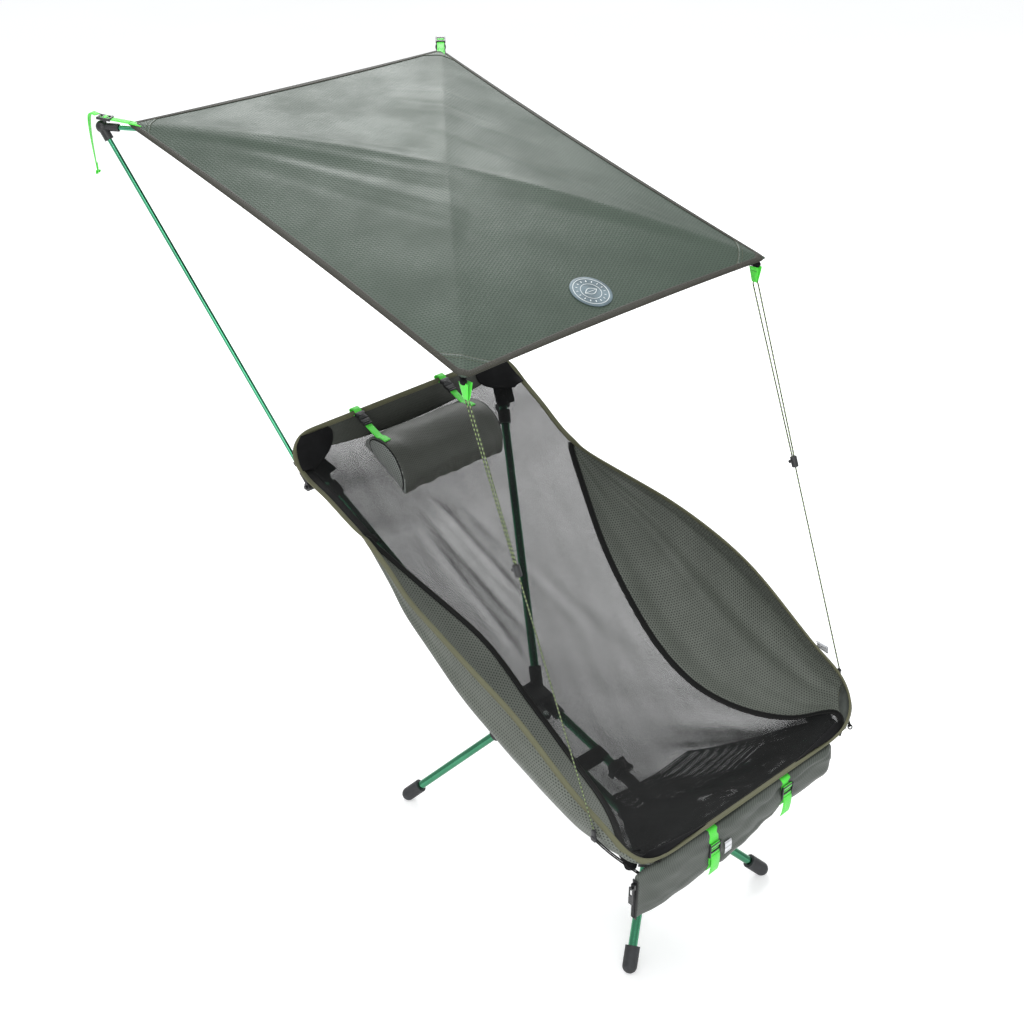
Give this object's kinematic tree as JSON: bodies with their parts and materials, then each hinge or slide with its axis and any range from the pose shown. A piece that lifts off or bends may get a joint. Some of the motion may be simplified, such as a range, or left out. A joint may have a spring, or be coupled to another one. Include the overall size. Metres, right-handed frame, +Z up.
{
  "type": "ultralight backpacking chair",
  "caption": "High-back mesh sling lounge chair on a two-hub pole frame, with a tilting fabric sun canopy, guy lines, clip-on pillow and carry bag.",
  "frame": {"origin": "middle of the whole chair on the ground, at the bottom centre of its bounding box without the guy lines", "axes": "+Z up; the sitter faces -Y; +X to the sitter's left"},
  "size_m": [0.761, 1.2669, 1.2826],
  "materials": {
    "frame_tube": "green anodised, glossy",
    "canopy_tube": "green anodised, glossy",
    "moulded_black": "fine matte",
    "pin_steel": "plain",
    "rubber": "matte",
    "mesh": "open knitted mesh",
    "panel_fabric": "honeycomb ripstop",
    "edge_tape": "ribbed binding tape",
    "pocket_fabric": "plain dense weave",
    "green_webbing": "flat woven webbing",
    "black_webbing": "flat woven webbing",
    "tag": "satin",
    "canopy_fabric": "coated, soft sheen",
    "hem_tape": "twill tape",
    "patch": "rubberised print",
    "guy_cord": "braided with a bright tracer",
    "pillow_fabric": "honeycomb ripstop",
    "bag_fabric": "twill weave",
    "zip": "woven tape with coil teeth",
    "zip_metal": "painted"
  },
  "bodies": {
    "root": {"back_band": "panel_fabric", "back_pole_left": "frame_tube", "back_pole_right": "frame_tube", "bag_buckles": "moulded_black", "bag_straps": "green_webbing", "bag_tag": "tag", "bag_zip": "zip", "canopy_brackets": "moulded_black", "care_tag": "tag", "carry_bag": "bag_fabric", "edge_binding": "edge_tape", "front_arms": "frame_tube", "front_hub": "moulded_black", "front_pockets": "pocket_fabric", "guy_hooks": "moulded_black", "lever_pin": "pin_steel", "rear_hub": "moulded_black", "side_panel_left": "panel_fabric", "side_panel_right": "panel_fabric", "sling_mesh": "mesh", "spine_clamp": "moulded_black", "spine_sleeve": "moulded_black", "spine_strap": "black_webbing", "spine_tubes": "frame_tube", "top_pockets": "pocket_fabric"},
    "canopy": {"canopy_pivots": "moulded_black", "canopy_poles": "canopy_tube", "pole_collars": "moulded_black", "elbows": "moulded_black", "ridge_poles": "canopy_tube", "canopy_tips": "pocket_fabric", "canopy_sheet": "canopy_fabric", "canopy_hem": "hem_tape", "canopy_patch": "patch", "canopy_buckles": "moulded_black", "canopy_straps": "green_webbing", "guy_tabs": "green_webbing", "strap_tail": "green_webbing"},
    "pillow_hanger": {"hanger_loops": "green_webbing", "hanger_buckles": "moulded_black"},
    "pillow": {"pillow_clips": "moulded_black", "pillow_tabs": "green_webbing", "pillow": "pillow_fabric"},
    "spine_lever": {"spine_lever": "moulded_black"},
    "zip_slider": {"zip_slider": "zip_metal"},
    "zip_pull": {"zip_pull": "zip_metal"},
    "guy_line_left": {"guy_line_left": "guy_cord"},
    "guy_loop_left": {"guy_loop_left": "guy_cord", "cord_lock_left": "moulded_black"},
    "rear_leg_left": {"rear_leg_left": "frame_tube", "rear_foot_cap_left": "rubber"},
    "front_leg_left": {"front_leg_left": "frame_tube", "front_foot_cap_left": "rubber"},
    "guy_line_right": {"guy_line_right": "guy_cord"},
    "guy_loop_right": {"guy_loop_right": "guy_cord", "cord_lock_right": "moulded_black"},
    "rear_leg_right": {"rear_leg_right": "frame_tube", "rear_foot_cap_right": "rubber"},
    "front_leg_right": {"front_leg_right": "frame_tube", "front_foot_cap_right": "rubber"}
  },
  "joints": [
    {"name": "canopy_tilt", "type": "hinge", "parent": "root", "child": "canopy", "pos_m": [0, 0.2608, 0.654], "axis": [-1, 0, 0], "range_deg": [0, 10]},
    {"name": "guy_swing_left", "type": "hinge", "parent": "root", "child": "guy_line_left", "pos_m": [0.301, -0.5422, 0.425], "axis": [-1, 0, 0], "range_deg": [0, 4]},
    {"name": "guy_let_out_left", "type": "slide", "parent": "guy_line_left", "child": "guy_loop_left", "axis": [0, 0.389, 0.9213], "range_m": [0, 0.12]},
    {"name": "guy_swing_right", "type": "hinge", "parent": "root", "child": "guy_line_right", "pos_m": [-0.301, -0.5422, 0.425], "axis": [-1, 0, 0], "range_deg": [0, 4]},
    {"name": "guy_let_out_right", "type": "slide", "parent": "guy_line_right", "child": "guy_loop_right", "axis": [0, 0.389, 0.9213], "range_m": [0, 0.12]},
    {"name": "pillow_swing", "type": "hinge", "parent": "root", "child": "pillow_hanger", "pos_m": [0, 0.2833, 0.756], "axis": [-1, 0, 0], "range_deg": [0, 60]},
    {"name": "pillow_unclip", "type": "slide", "parent": "pillow_hanger", "child": "pillow", "axis": [0, -0.9055, -0.4243], "range_m": [0, 0.022]},
    {"name": "spine_lever_open", "type": "hinge", "parent": "root", "child": "spine_lever", "pos_m": [0.049, -0.28107, 0.18487], "axis": [0, 0.9763, 0.2166], "range_deg": [0, 100]},
    {"name": "bag_zip_slide", "type": "slide", "parent": "root", "child": "zip_slider", "axis": [0, 0, -1], "range_m": [0, 0.066]},
    {"name": "zip_pull_swing", "type": "hinge", "parent": "zip_slider", "child": "zip_pull", "pos_m": [-0.282, -0.6087, 0.338], "axis": [0, 1, 0], "range_deg": [0, 120]},
    {"name": "rear_leg_pull_left", "type": "slide", "parent": "root", "child": "rear_leg_left", "axis": [0.4754, 0.5397, -0.6948], "range_m": [0, 0.034], "stiffness_N_per_m": 100, "springref_m": -0.05},
    {"name": "rear_leg_pull_right", "type": "slide", "parent": "root", "child": "rear_leg_right", "axis": [-0.4754, 0.5397, -0.6948], "range_m": [0, 0.034], "stiffness_N_per_m": 100, "springref_m": -0.05},
    {"name": "front_leg_pull_left", "type": "slide", "parent": "root", "child": "front_leg_left", "axis": [0.6118, -0.417, -0.6722], "range_m": [0, 0.034], "stiffness_N_per_m": 100, "springref_m": -0.05},
    {"name": "front_leg_pull_right", "type": "slide", "parent": "root", "child": "front_leg_right", "axis": [-0.6118, -0.417, -0.6722], "range_m": [0, 0.034], "stiffness_N_per_m": 100, "springref_m": -0.05}
  ],
  "couplings": [
    {"joint": "guy_swing_left", "follows": "canopy_tilt", "ratio": 0.28146},
    {"joint": "guy_let_out_left", "follows": "canopy_tilt", "m_per_rad": 0.63809},
    {"joint": "guy_swing_right", "follows": "canopy_tilt", "ratio": 0.28146},
    {"joint": "guy_let_out_right", "follows": "canopy_tilt", "m_per_rad": 0.63809}
  ]
}
